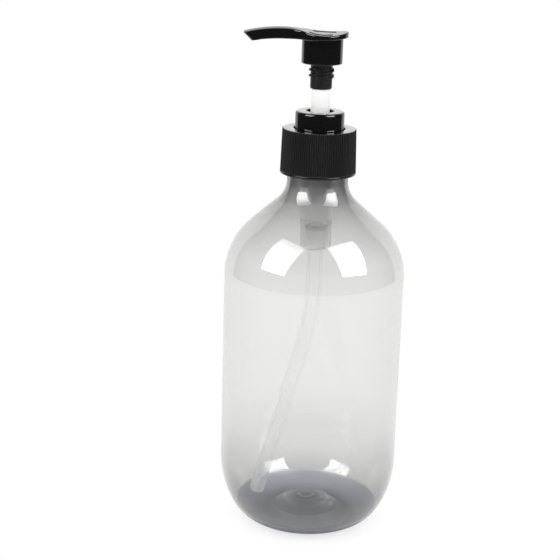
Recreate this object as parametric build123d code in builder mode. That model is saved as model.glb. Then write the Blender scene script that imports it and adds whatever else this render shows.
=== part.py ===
# Soap pump dispenser: a clear round bottle with a screw-on lotion pump that locks down.
# Sizes are in millimetres, +Z is up and the spout points to -X.
# The origin is the middle of the ring that the bottle stands on.
import math
import os

from build123d import *

# Bottle
body_radius = 37.0
wall = 0.8
heel_radius = 15.4
flank_radius = 40.0
heel_height = 27.3
foot_width = 1.6
push_up = 7.0
base_wall = 1.8
side_height = 79.8
shoulder_radius = 29.0
shoulder_slope = 41.44
neck_fillet = 11.0
neck_radius = 12.45
neck_wall = 1.7
neck_height = 16.9

# Screw closure
closure_height = 18.3
closure_top_radius = 15.0
closure_draft = 1.56
closure_plate = 1.4
rib_count = 104
rib_depth = 0.27
rib_foot = 1.5

# Pump body
gasket_thickness = 0.8
flange_thickness = 1.0
ring_flange = 1.1
ring_radius = 9.9
ring_height = 7.0
ring_edge = 0.8
barrel_bore = 5.4
barrel_wall = 1.2
barrel_depth = 32.5
socket_depth = 11.7
tube_radius = 3.2
tube_bore = 2.4
tube_lean = 16.46
tube_bend = 107.0
ball_radius = 2.4
ball_lift = 1.4

# Plunger
stem_radius = 3.87
stem_bore = 2.3
stroke = 18.6
piston_length = 5.2
piston_slip = 1.2
rod_grip = 6.5
wire = 0.85
spring_turns = 5.5

# Head
plug_length = 10.0
hub_radius = 8.2
hub_height = 10.1
pad_radius = 10.2
pad_low = 1.6
pad_back = 1.3
spout_reach = 31.1
spout_width = 8.6
spout_rise = 2.25
spout_crest = 15.6
spout_blend = 7.0
tip_drop = 1.95
tip_depth = 3.6
tip_slant = 3.2
channel = 1.1
hub_wall = 1.0
top_round = 0.6
under_round = 0.4

# Clearances
seat_gap = 0.05
running_gap = 0.08
loose_gap = 0.5
stop_gap = 0.3
turn_gap = 0.1

os.makedirs("parts", exist_ok=True)

# Heel of the bottle: a small arc from the foot and a large one into the side
flank_turn = math.degrees(math.asin((heel_height - heel_radius) / (flank_radius - heel_radius)))
heel_turn = 90 - flank_turn
foot_outer = body_radius - flank_radius
foot_outer += (flank_radius - heel_radius) * math.cos(math.radians(flank_turn))
foot_inner = foot_outer - foot_width
shoulder_start = heel_height + side_height
shoulder_turn = 90 - shoulder_slope
bore_radius = neck_radius - neck_wall
turn_cos = math.cos(math.radians(shoulder_turn))
turn_sin = math.sin(math.radians(shoulder_turn))


def cone_end(arc, fillet_arc, neck):
    """Radius and height where the shoulder's cone runs into the neck's fillet."""
    start_r = body_radius - shoulder_radius + arc * turn_cos
    start_z = shoulder_start + arc * turn_sin
    end_r = neck + fillet_arc * (1 - turn_cos)
    return end_r, start_z + (start_r - end_r) * math.tan(math.radians(shoulder_slope))


cone_r, cone_z = cone_end(shoulder_radius, neck_fillet, neck_radius)
neck_start = cone_z + neck_fillet * turn_sin
finish_top = neck_start + neck_height
inner_r, inner_z = cone_end(shoulder_radius - wall, neck_fillet + wall, bore_radius)

with BuildPart() as bottle:
    with BuildSketch(Plane.XZ):
        with BuildLine():
            dome = TangentArc((0, push_up), (foot_inner, 0), tangent=(1, 0))
            foot = Line(dome @ 1, (foot_outer, 0))
            heel = JernArc(foot @ 1, (1, 0), heel_radius, heel_turn)
            flank = JernArc(heel @ 1, heel % 1, flank_radius, flank_turn)
            side = Line(flank @ 1, (body_radius, shoulder_start))
            shoulder = JernArc(side @ 1, (0, 1), shoulder_radius, shoulder_turn)
            cone = Line(shoulder @ 1, (cone_r, cone_z))
            root = JernArc(cone @ 1, cone % 1, neck_fillet, -shoulder_turn)
            neck = Line(root @ 1, (neck_radius, finish_top))
            rim = Line(neck @ 1, (bore_radius, finish_top))
            inner_root = JernArc((inner_r, inner_z), cone % 1, neck_fillet + wall, -shoulder_turn)
            bore = Line(rim @ 1, inner_root @ 1)
            inner_shoulder = JernArc(
                (body_radius - wall, shoulder_start), (0, 1), shoulder_radius - wall, shoulder_turn
            )
            inner_cone = Line(inner_shoulder @ 1, inner_root @ 0)
            inner_heel = JernArc((foot_outer, wall), (1, 0), heel_radius - wall, heel_turn)
            inner_flank = JernArc(inner_heel @ 1, inner_heel % 1, flank_radius - wall, flank_turn)
            inner_side = Line(inner_flank @ 1, inner_shoulder @ 0)
            floor = TangentArc((0, push_up + base_wall), (foot_outer, wall), tangent=(1, 0))
            middle = Line(floor @ 0, dome @ 0)
        make_face()
    revolve(axis=Axis.Z)
bottle.part.label = "bottle"
export_step(bottle.part, "parts/bottle.step")

# Heights up the pump, from the bottle's rim
gasket_top = finish_top + gasket_thickness
flange_top = gasket_top + flange_thickness
ring_seat = flange_top + ring_flange
plate_under = ring_seat + turn_gap
closure_top = plate_under + closure_plate
closure_foot = closure_top - closure_height
ring_top = closure_top + ring_height
flange_radius = neck_radius - seat_gap

with BuildPart() as gasket:
    with BuildSketch(Plane.XY.offset(finish_top)):
        Circle(flange_radius)
        Circle(bore_radius - loose_gap, mode=Mode.SUBTRACT)
    extrude(amount=gasket_thickness)
gasket.part.label = "gasket"
export_step(gasket.part, "parts/gasket.step")

# Closure: a drafted skirt, a top plate with a hole for the lock ring and ribs all round
draft = math.radians(closure_draft)
closure_foot_radius = closure_top_radius + closure_height * math.tan(draft)
closure_bore = neck_radius + 1.45
closure_hole = ring_radius + loose_gap
groove_foot_z = closure_foot + rib_foot
groove_foot_r = closure_foot_radius - rib_foot * math.tan(draft)
groove_half = 0.33 * 2 * math.pi * closure_top_radius / rib_count
groove_plane = Plane(
    origin=(groove_foot_r, 0, groove_foot_z),
    x_dir=(math.cos(draft), 0, math.sin(draft)),
    z_dir=(-math.sin(draft), 0, math.cos(draft)),
)

with BuildPart() as closure:
    with BuildSketch(Plane.XZ):
        with BuildLine():
            Polyline(
                (closure_bore, closure_foot),
                (closure_foot_radius, closure_foot),
                (closure_top_radius, closure_top),
                (closure_hole, closure_top),
                (closure_hole, plate_under),
                (closure_bore, plate_under),
                close=True,
            )
        make_face()
    revolve(axis=Axis.Z)
    closure_rims = closure.edges().filter_by(GeomType.CIRCLE).sort_by(SortBy.RADIUS)
    fillet(closure_rims[-1], 0.6)
    closure_crown = closure.edges().group_by(Axis.Z)[-1].sort_by(SortBy.RADIUS)
    chamfer(closure_crown[-1], 0.3)
    with BuildSketch(groove_plane):
        with BuildLine():
            Polyline((-rib_depth, 0), (rib_depth, -2 * groove_half), (rib_depth, 2 * groove_half), close=True)
        make_face()
    groove = extrude(amount=closure_height, mode=Mode.PRIVATE)
    with PolarLocations(0, rib_count):
        add(groove, mode=Mode.SUBTRACT)
closure.part.label = "closure"
export_step(closure.part, "parts/closure.step")

# Lock ring: the glossy ring on the closure, with a deep well for the head's plug
plug_radius = stem_radius + 0.49
plug_foot = ring_top + stroke + stop_gap - plug_length
well_radius = plug_radius + 1.0
well_floor = plug_foot - stroke - 0.7
guide_foot = well_floor - 2.2
guide_radius = stem_radius + running_gap
well_wall = well_radius + 1.2
ring_skirt = ring_radius - 1.2
skirt_foot = guide_foot

with BuildPart() as lock_ring:
    with BuildSketch(Plane.XZ):
        with BuildLine():
            Polyline(
                (well_radius, ring_top),
                (ring_radius, ring_top),
                (ring_radius, ring_seat),
                (flange_radius, ring_seat),
                (flange_radius, flange_top),
                (ring_skirt, flange_top),
                (ring_skirt, skirt_foot),
                (ring_skirt - 1.0, skirt_foot),
                (ring_skirt - 1.0, ring_top - 1.6),
                (well_wall, ring_top - 1.6),
                (well_wall, guide_foot),
                (guide_radius, guide_foot),
                (guide_radius, well_floor),
                (well_radius, well_floor),
                close=True,
            )
        make_face()
    revolve(axis=Axis.Z)
    ring_crown = lock_ring.edges().group_by(Axis.Z)[-1].sort_by(SortBy.RADIUS)
    fillet(ring_crown[-1], ring_edge)
    chamfer(lock_ring.edges().group_by(Axis.Z)[-1].sort_by(SortBy.RADIUS)[0], 0.4)
lock_ring.part.label = "lock_ring"
export_step(lock_ring.part, "parts/lock_ring.step")

# Housing: a cup in the bottle's neck, the barrel, the inlet valve's seat and the tube's socket
cup_radius = ring_skirt + seat_gap
cup_outer = cup_radius + barrel_wall
cup_floor = guide_foot - turn_gap
spring_seat = cup_floor - barrel_depth
barrel_outer = barrel_bore + barrel_wall
skirt_outer = barrel_outer - 0.3
pocket_radius = ball_radius + 0.45
post_radius = pocket_radius + 0.65
seat_hole = ball_radius * 0.667
seat_z = spring_seat - 2.15 - (pocket_radius - seat_hole)
ball_z = seat_z - seat_hole + ball_radius * math.sqrt(2) + 0.03
cage_radius = 0.7 * ball_radius
cage_under = ball_z + ball_lift + math.sqrt(ball_radius**2 - cage_radius**2) + 0.2
cage_top = cage_under + 0.7
socket_radius = tube_radius + seat_gap
socket_outer = socket_radius + 1.25
socket_top = seat_z - 1.1
socket_foot = spring_seat - socket_depth
skirt_top = spring_seat - 2.5

with BuildPart() as housing:
    with BuildSketch(Plane.XZ):
        with BuildLine():
            Polyline(
                (cup_radius, flange_top),
                (flange_radius, flange_top),
                (flange_radius, gasket_top),
                (cup_outer, gasket_top),
                (cup_outer, cup_floor - barrel_wall),
                (barrel_outer, cup_floor - barrel_wall),
                (barrel_outer, spring_seat - barrel_wall),
                (skirt_outer, spring_seat - barrel_wall),
                (skirt_outer, socket_foot + 1.4),
                (skirt_outer - 0.8, socket_foot + 1.4),
                (skirt_outer - 0.8, skirt_top),
                (socket_outer, skirt_top),
                (socket_outer, socket_foot),
                (socket_radius, socket_foot),
                (socket_radius, socket_top),
                (seat_hole, socket_top),
                (seat_hole, seat_z),
                (pocket_radius, seat_z + pocket_radius - seat_hole),
                (pocket_radius, cage_under),
                (cage_radius, cage_under),
                (cage_radius, cage_top),
                (post_radius, cage_top),
                (post_radius, spring_seat),
                (barrel_bore, spring_seat),
                (barrel_bore, cup_floor),
                (cup_radius, cup_floor),
                close=True,
            )
        make_face()
    revolve(axis=Axis.Z)
    with BuildSketch(Plane.XY.offset(spring_seat + 0.3)):
        Rectangle(2 * post_radius + 0.4, 2.0)
        Rectangle(2.0, 2 * post_radius + 0.4)
    extrude(amount=4, mode=Mode.SUBTRACT)
    with BuildSketch(Plane.YZ.offset(0.5 * barrel_bore)):
        with Locations((0, cup_floor - barrel_wall - 1.6)):
            Circle(0.6)
    extrude(amount=barrel_outer, mode=Mode.SUBTRACT)
housing.part.label = "housing"
export_step(housing.part, "parts/housing.step")

with BuildPart() as inlet_ball:
    with BuildSketch(Plane.XZ.offset(0)):
        with BuildLine():
            half = CenterArc((0, ball_z), ball_radius, -90, 180)
            Line(half @ 1, half @ 0)
        make_face()
    revolve(axis=Axis.Z)
inlet_ball.part.label = "inlet_ball"
export_step(inlet_ball.part, "parts/inlet_ball.step")

# Dip tube: down the middle, one wide bend, then a straight run to the back left of the heel
lean = math.radians(tube_lean)
tube_reach = foot_outer + 0.42 * heel_radius
tube_edge = tube_reach + tube_radius * math.cos(lean) - foot_outer
heel_under = heel_radius - math.sqrt((heel_radius - wall) ** 2 - tube_edge**2)
tube_end = heel_under + 1.1 - tube_radius * math.sin(lean)
bend_z = tube_end + tube_reach / math.tan(lean)
bend_run = tube_bend * math.tan(lean / 2)
tube_heading = Vector(-0.8818, 0.4717, 0).normalized()
tube_top = socket_top - seat_gap
bend_out = tube_heading * (bend_run * math.sin(lean)) + Vector(0, 0, bend_z - bend_run * math.cos(lean))
tube_foot = tube_heading * tube_reach + Vector(0, 0, tube_end)

with BuildPart() as dip_tube:
    with BuildLine():
        drop = Line((0, 0, tube_top), (0, 0, bend_z + bend_run))
        bend = TangentArc(drop @ 1, bend_out, tangent=(0, 0, -1))
        run = Line(bend @ 1, tube_foot)
    with BuildSketch(Plane.XY.offset(tube_top)):
        Circle(tube_radius)
        Circle(tube_bore, mode=Mode.SUBTRACT)
    sweep()
dip_tube.part.label = "dip_tube"
tube_section = math.pi * (tube_radius**2 - tube_bore**2)
tube_length = drop.length + bend.length + run.length
print("dip tube volume", dip_tube.part.volume, "section by length", tube_section * tube_length)
export_step(dip_tube.part, "parts/dip_tube.step")

# Plunger heights, from the spring and the inlet cage up
rod_foot = cage_top + stop_gap + stroke
rod_flange = rod_foot + 3.2
rod_flange_top = rod_flange + 1.4
web_top = rod_flange_top + 1.0
stem_foot = web_top + piston_slip
piston_top = rod_flange_top + piston_length
rod_radius = stem_bore - seat_gap
rod_top = stem_foot + rod_grip
rod_disc = barrel_bore - 0.45

with BuildPart() as piston_rod:
    with BuildSketch(Plane.XZ):
        with BuildLine():
            Polyline(
                (0, rod_foot),
                (rod_radius + 0.35, rod_foot),
                (rod_radius + 0.35, rod_flange),
                (rod_disc, rod_flange),
                (rod_disc, rod_flange_top),
                (rod_radius, rod_flange_top),
                (rod_radius, rod_top),
                (0, rod_top),
                close=True,
            )
        make_face()
    revolve(axis=Axis.Z)
    with BuildSketch(Plane.XY.offset(rod_flange_top)):
        with PolarLocations(rod_radius, 3):
            Rectangle(2 * (rod_radius - 0.75), 1.5)
    extrude(amount=10, mode=Mode.SUBTRACT)
piston_rod.part.label = "piston_rod"
export_step(piston_rod.part, "parts/piston_rod.step")

lip = barrel_bore - seat_gap
waist = barrel_bore - 0.7

with BuildPart() as piston:
    with BuildSketch(Plane.XZ):
        with BuildLine():
            Polyline(
                (rod_radius + 0.5, rod_flange_top),
                (rod_disc, rod_flange_top),
                (lip, rod_flange_top + 0.6),
                (lip, rod_flange_top + 1.4),
                (waist, rod_flange_top + 2.0),
                (waist, piston_top - 1.4),
                (lip, piston_top - 0.8),
                (lip, piston_top),
                (guide_radius, piston_top),
                (guide_radius, web_top),
                (rod_radius + 0.5, web_top),
                close=True,
            )
        make_face()
    revolve(axis=Axis.Z)
piston.part.label = "piston"
export_step(piston.part, "parts/piston.step")

# Return spring: one wire, wound close at both ends and open in the middle
coil_radius = (barrel_bore - 0.35 + post_radius + 0.35) / 2
coil_rise = rod_flange - spring_seat - wire - 2 * seat_gap
coil_foot = spring_seat + seat_gap + wire / 2
end_ease = 0.8
halves = round(2 * spring_turns)


def coil_point(k):
    """Point and direction on the wire's centre line after k half turns."""
    u = k / halves
    angle = k * math.pi
    z = coil_rise * (u - end_ease * math.sin(2 * math.pi * u) / (2 * math.pi))
    climb = coil_rise * (1 - end_ease * math.cos(2 * math.pi * u)) / halves
    across = coil_radius * math.pi
    point = Vector(coil_radius * math.cos(angle), coil_radius * math.sin(angle), coil_foot + z)
    heading = Vector(-across * math.sin(angle), across * math.cos(angle), climb).normalized()
    return point, heading


def biarc_joint(p, t, q, s):
    """Point where two arcs, leaving p along t and reaching q along s, meet."""
    chord = q - p
    both = t + s
    bend_by = 2 * (1 - t.dot(s))
    along = chord.dot(both)
    reach = (math.sqrt(along**2 + bend_by * chord.dot(chord)) - along) / bend_by
    return (p + q + (t - s) * reach) * 0.5


with BuildPart() as spring:
    with BuildLine() as coil:
        for k in range(halves):
            near, near_way = coil_point(k)
            far, far_way = coil_point(k + 1)
            joint = biarc_joint(near, near_way, far, far_way)
            first = TangentArc(near, joint, tangent=near_way)
            TangentArc(joint, far, tangent=first % 1)
    coil_start, coil_way = coil_point(0)
    with BuildSketch(Plane(origin=coil_start, x_dir=(1, 0, 0), z_dir=coil_way)):
        Circle(wire / 2)
    sweep()
spring.part.label = "spring"
turn_gaps = [coil_point(k / 16 + 2)[0].Z - coil_point(k / 16)[0].Z - wire for k in range(16 * (halves - 2) + 1)]
print("spring: least gap between turns", min(turn_gaps), "closed length", wire * (spring_turns + 1))
export_step(spring.part, "parts/spring.step")

# Stem: the white tube between the head and the piston
hub_foot = plug_foot + plug_length
spigot_radius = stem_radius - 0.87
spigot_top = hub_foot + 1.0

with BuildPart() as stem:
    with BuildSketch(Plane.XZ):
        with BuildLine():
            Polyline(
                (stem_bore, stem_foot),
                (stem_radius, stem_foot),
                (stem_radius, plug_foot),
                (spigot_radius, plug_foot),
                (spigot_radius, spigot_top),
                (stem_bore, spigot_top),
                close=True,
            )
        make_face()
    revolve(axis=Axis.Z)
stem.part.label = "stem"
export_step(stem.part, "parts/stem.step")

# Head: a dished thumb pad that runs into an arched spout, on a hub with a plug below
pad_under = hub_foot + hub_height
pad_top = pad_under + pad_low
crest = pad_top + spout_rise
tip_top = crest - tip_drop
low_x = 1.0
crest_run = spout_crest + low_x
arc_sum = (crest_run**2 + spout_rise**2) / (2 * spout_rise)
crest_arc = 0.56 * arc_sum
dish_arc = arc_sum - crest_arc
sway = math.degrees(math.asin(crest_run / arc_sum))
spout_under = pad_under - 0.5
tip_under = tip_top - tip_depth
half_width = spout_width / 2

with BuildPart() as head:
    with BuildSketch(Plane.XZ):
        with BuildLine():
            arch = JernArc((-spout_crest, crest), (1, 0), crest_arc, -sway)
            dish = JernArc(arch @ 1, arch % 1, dish_arc, sway)
            lift = TangentArc(dish @ 1, (pad_radius + 0.6, pad_top + pad_back), tangent=(1, 0))
            back = Line(lift @ 1, (pad_radius + 0.6, pad_under + 0.4))
            under = Line(back @ 1, (0.5 * pad_radius, pad_under))
            ramp = Line(under @ 1, (-0.5 * pad_radius, spout_under))
            belly = Line(ramp @ 1, (-spout_crest, spout_under))
            droop = TangentArc(belly @ 1, (-spout_reach + tip_slant, tip_under), tangent=(-1, 0))
            brow = TangentArc((-spout_crest, crest), (-spout_reach, tip_top), tangent=(-1, 0))
            cut = Line(droop @ 1, brow @ 1)
        make_face()
    extrude(amount=pad_radius + 1, both=True)
    with BuildSketch(Plane.XY.offset(hub_foot)) as plan:
        Circle(pad_radius)
        with Locations((-spout_reach / 2 - 0.5, 0)):
            Rectangle(spout_reach + 1, spout_width)
        fillet([v for v in plan.vertices() if -pad_radius < v.X < -0.5 * pad_radius], spout_blend)
    extrude(amount=crest - hub_foot + 1, mode=Mode.INTERSECT)
    slant = head.faces().sort_by(Axis.X)[0]
    fillet([e for e in slant.edges() if abs(e.center().Y) > 0.9 * half_width], 1.4)
    top_edges = head.faces().filter_by(lambda f: f.normal_at(None).Z > 0.6).edges()
    top_rim = [e for e in top_edges if sum(g.is_same(e) for g in top_edges) == 1]
    fillet(top_rim, top_round)
    under_edges = head.faces().filter_by(lambda f: f.normal_at(None).Z < -0.8).edges()
    under_rim = [e for e in under_edges if sum(g.is_same(e) for g in under_edges) == 1]
    fillet([e for e in under_rim if e.center().X > -spout_reach + tip_slant + 1], under_round)
    with BuildSketch(Plane.XY.offset(hub_foot)):
        Circle(hub_radius)
    extrude(until=Until.NEXT)
    hub_rim = head.edges().group_by(Axis.Z)[0]
    fillet(hub_rim, 0.4)
    with BuildSketch(Plane.XY.offset(hub_foot)):
        Circle(hub_radius - hub_wall)
        Rectangle(2 * hub_radius, hub_wall, mode=Mode.SUBTRACT)
        Rectangle(hub_wall, 2 * hub_radius, mode=Mode.SUBTRACT)
    extrude(amount=hub_height - 2.2, mode=Mode.SUBTRACT)
    with BuildSketch(Plane.XZ):
        with BuildLine():
            Polyline(
                (0, plug_foot),
                (plug_radius - 0.4, plug_foot),
                (plug_radius, plug_foot + 0.5),
                (plug_radius, hub_foot - 1.0),
                (plug_radius + 0.64, hub_foot - 0.3),
                (plug_radius + 0.64, pad_under - 1.0),
                (0, pad_under - 1.0),
                close=True,
            )
        make_face()
    revolve(axis=Axis.Z)
    with BuildSketch(Plane.XY.offset(plug_foot)):
        Circle(spigot_radius + 0.02)
    extrude(amount=spigot_top + seat_gap - plug_foot, mode=Mode.SUBTRACT)
    with BuildSketch(Plane.XY.offset(spigot_top)):
        Circle(stem_bore)
    extrude(amount=spout_under + 0.2 - spigot_top, mode=Mode.SUBTRACT)
    with BuildLine():
        duct = ThreePointArc(
            (0, 0, spout_under),
            (-spout_crest + 2.1, 0, (crest + spout_under) / 2),
            (-spout_reach - 1, 0, (tip_top + tip_under) / 2 - 0.8),
        )
    with BuildSketch(Plane(origin=duct @ 0, x_dir=(0, 1, 0), z_dir=duct % 0)):
        Circle(channel)
    sweep(mode=Mode.SUBTRACT)
head.part.label = "head"
export_step(head.part, "parts/head.step")
print("heights", neck_start, finish_top, closure_foot, closure_top, ring_top, plug_foot, hub_foot, pad_under, crest)
print("pump", cup_floor, spring_seat, ball_z, cage_top, rod_foot, rod_flange, stem_foot, piston_top, well_floor)
print("tube", tube_reach, tube_end, bend_z, bend_run, "foot", foot_outer, foot_inner)
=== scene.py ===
"""Soap pump dispenser: the looks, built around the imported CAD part.

Sizes are in millimetres until a mesh is made.
"""

import math

import bpy
import numpy as np
from mathutils import Matrix, Vector


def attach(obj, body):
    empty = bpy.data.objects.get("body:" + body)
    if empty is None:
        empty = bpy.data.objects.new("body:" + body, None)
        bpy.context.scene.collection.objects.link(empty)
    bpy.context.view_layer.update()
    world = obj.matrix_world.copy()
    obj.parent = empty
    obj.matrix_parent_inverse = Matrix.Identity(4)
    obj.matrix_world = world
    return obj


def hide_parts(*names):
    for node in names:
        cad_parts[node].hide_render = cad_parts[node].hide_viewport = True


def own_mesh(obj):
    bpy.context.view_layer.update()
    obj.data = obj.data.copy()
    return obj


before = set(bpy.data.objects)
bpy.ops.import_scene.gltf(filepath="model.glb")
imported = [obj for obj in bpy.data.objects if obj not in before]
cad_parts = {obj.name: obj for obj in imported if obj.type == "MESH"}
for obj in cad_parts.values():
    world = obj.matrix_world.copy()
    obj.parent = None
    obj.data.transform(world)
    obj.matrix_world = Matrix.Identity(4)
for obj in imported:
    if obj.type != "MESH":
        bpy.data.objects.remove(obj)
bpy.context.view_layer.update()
MM = 0.001
# Radii or heights this close to each other count as the same
NEAR = 0.01
BOTTLE_SEGMENTS, RING_SEGMENTS, HUB_SEGMENTS, STEM_SEGMENTS = 256, 160, 288, 128

# Bottle
BODY_R, WALL = 37.0, 0.8
HEEL_R, FLANK_R, HEEL_H = 15.4, 40.0, 27.3
FOOT_W, PUSH_UP, BASE_WALL = 1.6, 7.0, 1.8
SIDE_H, SHOULDER_R, SLOPE = 79.8, 29.0, math.radians(41.44)
NECK_FILLET, NECK_R, NECK_WALL, NECK_H = 11.0, 12.45, 1.7, 16.9
LIP_OUT, LIP_IN = 0.5, 0.4
FLANK_T = math.asin((HEEL_H - HEEL_R) / (FLANK_R - HEEL_R))
FOOT_R = BODY_R - FLANK_R + (FLANK_R - HEEL_R) * math.cos(FLANK_T)
SHOULDER_Z = HEEL_H + SIDE_H
TURN = math.pi / 2 - SLOPE
BORE_R = NECK_R - NECK_WALL


def cone_end(shoulder, fillet, neck):
    """Height at which the shoulder's cone runs into the neck's fillet."""
    start_r = BODY_R - SHOULDER_R + shoulder * math.cos(TURN)
    start_z = SHOULDER_Z + shoulder * math.sin(TURN)
    end_r = neck + fillet * (1 - math.cos(TURN))
    return start_z + (start_r - end_r) * math.tan(SLOPE)


CONE_Z = cone_end(SHOULDER_R, NECK_FILLET, NECK_R)
NECK_Z = CONE_Z + NECK_FILLET * math.sin(TURN)
RIM_Z = NECK_Z + NECK_H
INNER_Z = cone_end(SHOULDER_R - WALL, NECK_FILLET + WALL, BORE_R)

# Closure
FLANGE_TOP = RIM_Z + 1.8
RING_SEAT = FLANGE_TOP + 1.1
PLATE_UNDER = RING_SEAT + 0.1
CLOSURE_TOP = PLATE_UNDER + 1.4
CLOSURE_H, CLOSURE_TOP_R = 18.3, 15.0
CLOSURE_FOOT = CLOSURE_TOP - CLOSURE_H
DRAFT = math.tan(math.radians(1.56))
CLOSURE_BORE = NECK_R + 1.45
RIBS, RIB_STEPS, RIB_INSET, RIB_DEPTH, RIB_ROUND = 104, 8, 0.12, 0.3, 0.7
RIB_START, RIB_EASE, RIB_TOP, RIB_TOP_EASE = 0.02, 0.35, 0.45, 0.3
SKIRT_EASE, SKIRT_FROM, SKIRT_TO = 0.5, 2.4, 0.6
BEAD_H, BEAD_ROUND, FOOT_ROUND = 1.0, 0.25, 0.5
TOP_ROUND, TOP_INSET, MOUTH_ROUND, FOOT_CUT = 0.4, 0.06, 0.25, 0.3

# Lock ring
STROKE, PLUG_RISE = 18.6, 8.9
RING_R, RING_TOP, RING_ROUND = 9.9, CLOSURE_TOP + 7.0, 1.15
RING_ROOF, RING_SKIRT_OUT, RING_SKIRT_IN, FLANGE_R = 1.6, 1.2, 2.2, 12.4
HOLE_R = RING_R + 0.5
WELL_R, WELL_EDGE, WELL_WALL, WELL_ROWS = 5.36, 0.4, 1.2, 6.4
WELL_FLOOR, GUIDE_R = RING_TOP + PLUG_RISE - STROKE - 0.7, 3.95
GUIDE_FOOT = WELL_FLOOR - 2.2

# Head and stem
PLUG_FOOT = RING_TOP + PLUG_RISE
HUB_FOOT = PLUG_FOOT + 10.0
PLUG_R, HUB_R, HUB_WALL, HUB_POCKET, HUB_ROUND = 4.36, 8.2, 1.0, HUB_FOOT + 7.9, 0.4
PLUG_NECK, PLUG_NECK_Z, ROWS_LOW, ROWS_HIGH = PLUG_R + 0.64, HUB_FOOT - 0.3, HUB_FOOT - 7.2, HUB_FOOT - 1.0
PLUG_FLAT, PLUG_EDGE, PLUG_EDGE_H, PLUG_SATIN = 0.4, 0.12, 0.5, HUB_FOOT - 0.05
STEM_R, STEM_BORE, SPIGOT_R, STEM_FOOT = 3.87, 2.3, 3.0, RING_TOP - 17.03
STEM_EDGE, STEM_TOP_EDGE, SPIGOT_GAP, STEM_TOP = 0.15, 0.12, 0.02, HUB_FOOT + 1
PAD_UNDER = HUB_FOOT + 10.1
PAD_TOP, HUB_TOP = PAD_UNDER + 1.6, PAD_UNDER + 0.5
CREST = PAD_TOP + 2.25
PAD_R, PAD_BACK, BACK_RUN, LOW_X, CREST_X = 10.2, 1.3, 0.6, 1.0, -15.6
CREST_SHARE, DISH_SHARE = 0.56, 0.44
BACK_LIFT, FRONT_LIFT = 0.4, 0.5
SPOUT_HALF, SPOUT_BLEND, SPOUT_UNDER = 4.3, 7.0, PAD_UNDER - FRONT_LIFT
TIP_X, TIP_TOP, TIP_UNDER_X, TIP_UNDER = -31.1, CREST - 1.95, -27.9, CREST - 5.55
TIP_ROUND = 1.4
CROWN, CROWN_FROM, CROWN_FULL = 0.45, -7.0, -14.0
EDGE_STEPS, EDGE_FULL = (0.0, 0.02, 0.07, 0.15, 0.26, 0.4, 0.6), 1.2
TOP_EDGE, TIP_EDGE_LESS, TIP_EDGE_X, TIP_EDGE_RUN = 0.6, 0.35, -24, 6
UNDER_EDGE, TIP_PLAIN = 0.4, 4
PAD_N, BLEND_N, SPOUT_N, TIP_N, ACROSS_N, FIRST_DEG = 80, 16, 50, 14, 18, 0.7
OUTLET_R, OUTLET_FLARE, OUTLET_EDGE, OUTLET_DEEP = 1.1, 1.12, 0.12, 9.0
OUTLET_WAY = np.array((0.98, 0, 0.17))
ARROW_R, ARROW_W, ARROW_H, ARROW_SINK = 6.1, 0.42, 0.16, -0.1
ARROW_STARTS, ARROW_BEND, ARROW_TIP, BARB_W, TIP_W = (35, 215), 78, 96, 1.15, 0.02

# Spring and dip tube
SPRING_FOOT, SPRING_R, WIRE_R, SPRING_RISE, SPRING_TURNS = 129.918, 4.45, 0.425, 23.588, 5.5
WIRE_LIFT, COIL_EASE, COIL_STEPS, WIRE_SIDES = 0.475, 0.8, 400, 16
SOCKET_R = 4.5
TUBE_R, TUBE_BORE, TUBE_TOP, BEND_TOP, BEND_R, TUBE_END = 3.2, 2.4, 125.37, 104.62, 107.0, 4.54
TUBE_EDGE, TUBE_TOP_EDGE, TUBE_SIDES, END_FACE = 0.12, 0.05, 64, 0.6
LEAN, TUBE_WAY = math.radians(16.46), (-0.8818, 0.4717)

# Threads: ridge, where it starts, rise a turn, turns, number of starts, half width and first angle
THREAD_EASE, THREAD_FLANK = 0.12, 1.6
NECK_THREAD = dict(ridge=1.2, start=NECK_Z + 6.4, pitch=4.23, turns=1.5, starts=1, width=1.5)
CLOSURE_THREAD = dict(ridge=1.0, start=CLOSURE_FOOT + 2.2, pitch=4.23, turns=2.3, starts=1, width=1.3)
WELL_THREAD = dict(ridge=0.28, start=RING_TOP - 4.6, pitch=4.2, turns=0.7, starts=2, width=0.8)
PLUG_THREAD = dict(ridge=0.7, start=HUB_FOOT - 6.05, pitch=4.6, turns=1.0, starts=2, width=0.75,
                   phase=-math.pi / 2)


def arc(cx, cz, r, a0, a1, n):
    """Points on an arc round (cx, cz) from angle a0 to a1, in degrees."""
    a = np.radians(np.linspace(a0, a1, n))
    return [(cx + r * math.cos(t), cz + r * math.sin(t)) for t in a]


def line(p, q, n):
    """Points on a straight line from p to q."""
    return [(p[0] + (q[0] - p[0]) * t, p[1] + (q[1] - p[1]) * t) for t in np.linspace(0, 1, n)]


def join(*runs):
    """One list of points, without those that repeat."""
    out = []
    for p in (p for run in runs for p in run):
        if not out or math.dist(p, out[-1]) > 1e-4:
            out.append(p)
    return out


def new_mesh(name, verts, faces, sharp=40):
    """A smooth-shaded object in the scene. Edges over the angle sharp stay sharp."""
    mesh = bpy.data.meshes.new(name)
    mesh.from_pydata([tuple(v) for v in np.asarray(verts, dtype=float) * MM], [], faces)
    mesh.validate()
    for p in mesh.polygons:
        p.use_smooth = True
    if sharp:
        mesh.set_sharp_from_angle(angle=math.radians(sharp))
    obj = bpy.data.objects.new(name, mesh)
    bpy.context.scene.collection.objects.link(obj)
    return obj


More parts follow.
